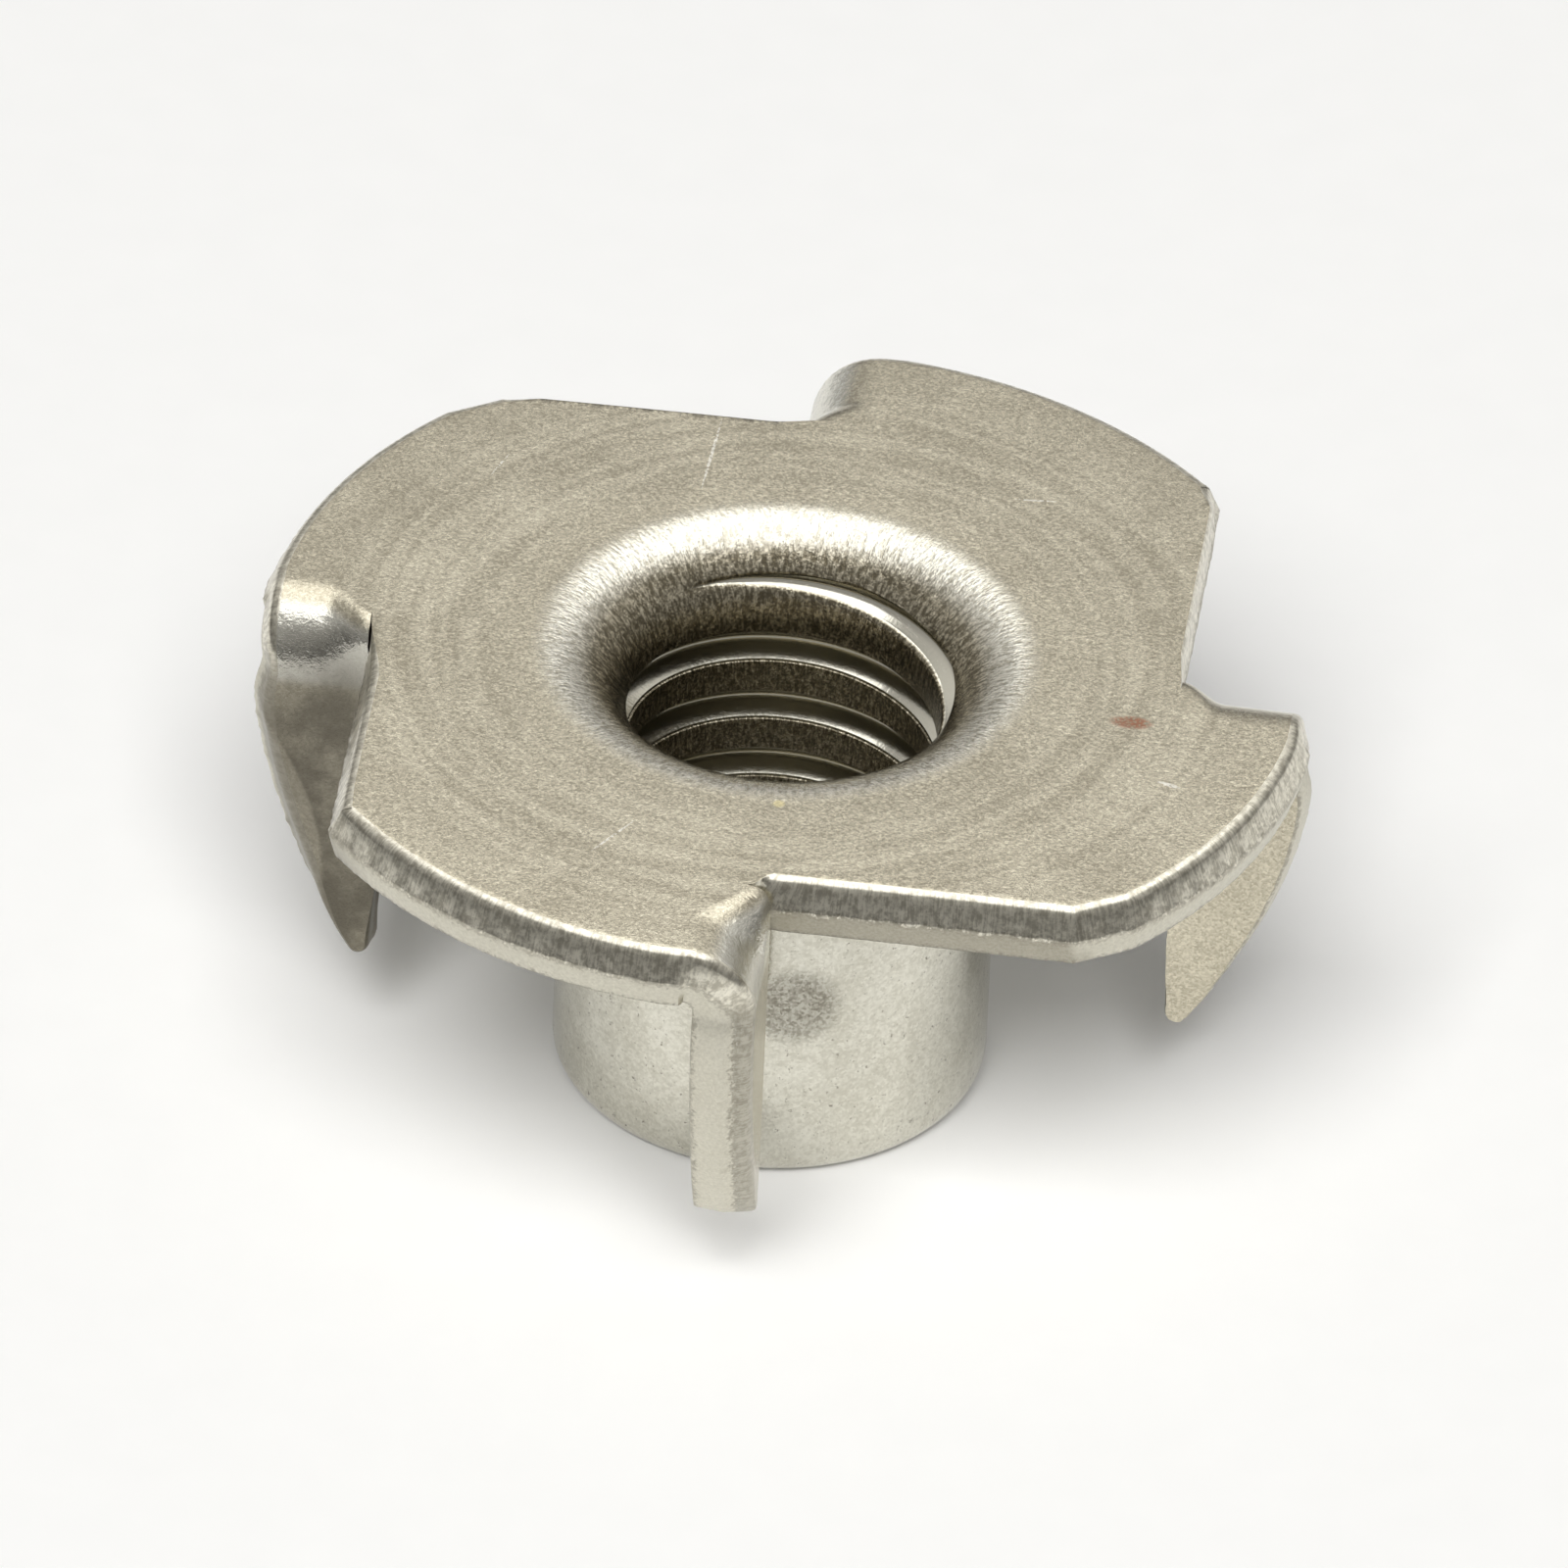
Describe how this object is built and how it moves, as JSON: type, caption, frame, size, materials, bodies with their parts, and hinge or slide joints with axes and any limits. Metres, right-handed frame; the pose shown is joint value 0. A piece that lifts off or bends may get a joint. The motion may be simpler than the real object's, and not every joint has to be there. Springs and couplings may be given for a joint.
{
  "type": "tee nut",
  "caption": "Pronged tee nut folded from round sheet steel: flat flange, threaded barrel, and prongs bent down to grip wood so that a screw can be driven in from the far side.",
  "frame": {"origin": "centre of the barrel's lower end, on the axis of the thread", "axes": "+Z along the barrel towards the flange, +X along the fold line of one prong"},
  "size_m": [0.019, 0.019, 0.0088],
  "materials": {
    "steel": "dull warm grey stamped steel with a fine speckle, brighter at the folds and rolled edges"
  },
  "bodies": {
    "root": {"tee_nut": "steel"}
  },
  "joints": []
}
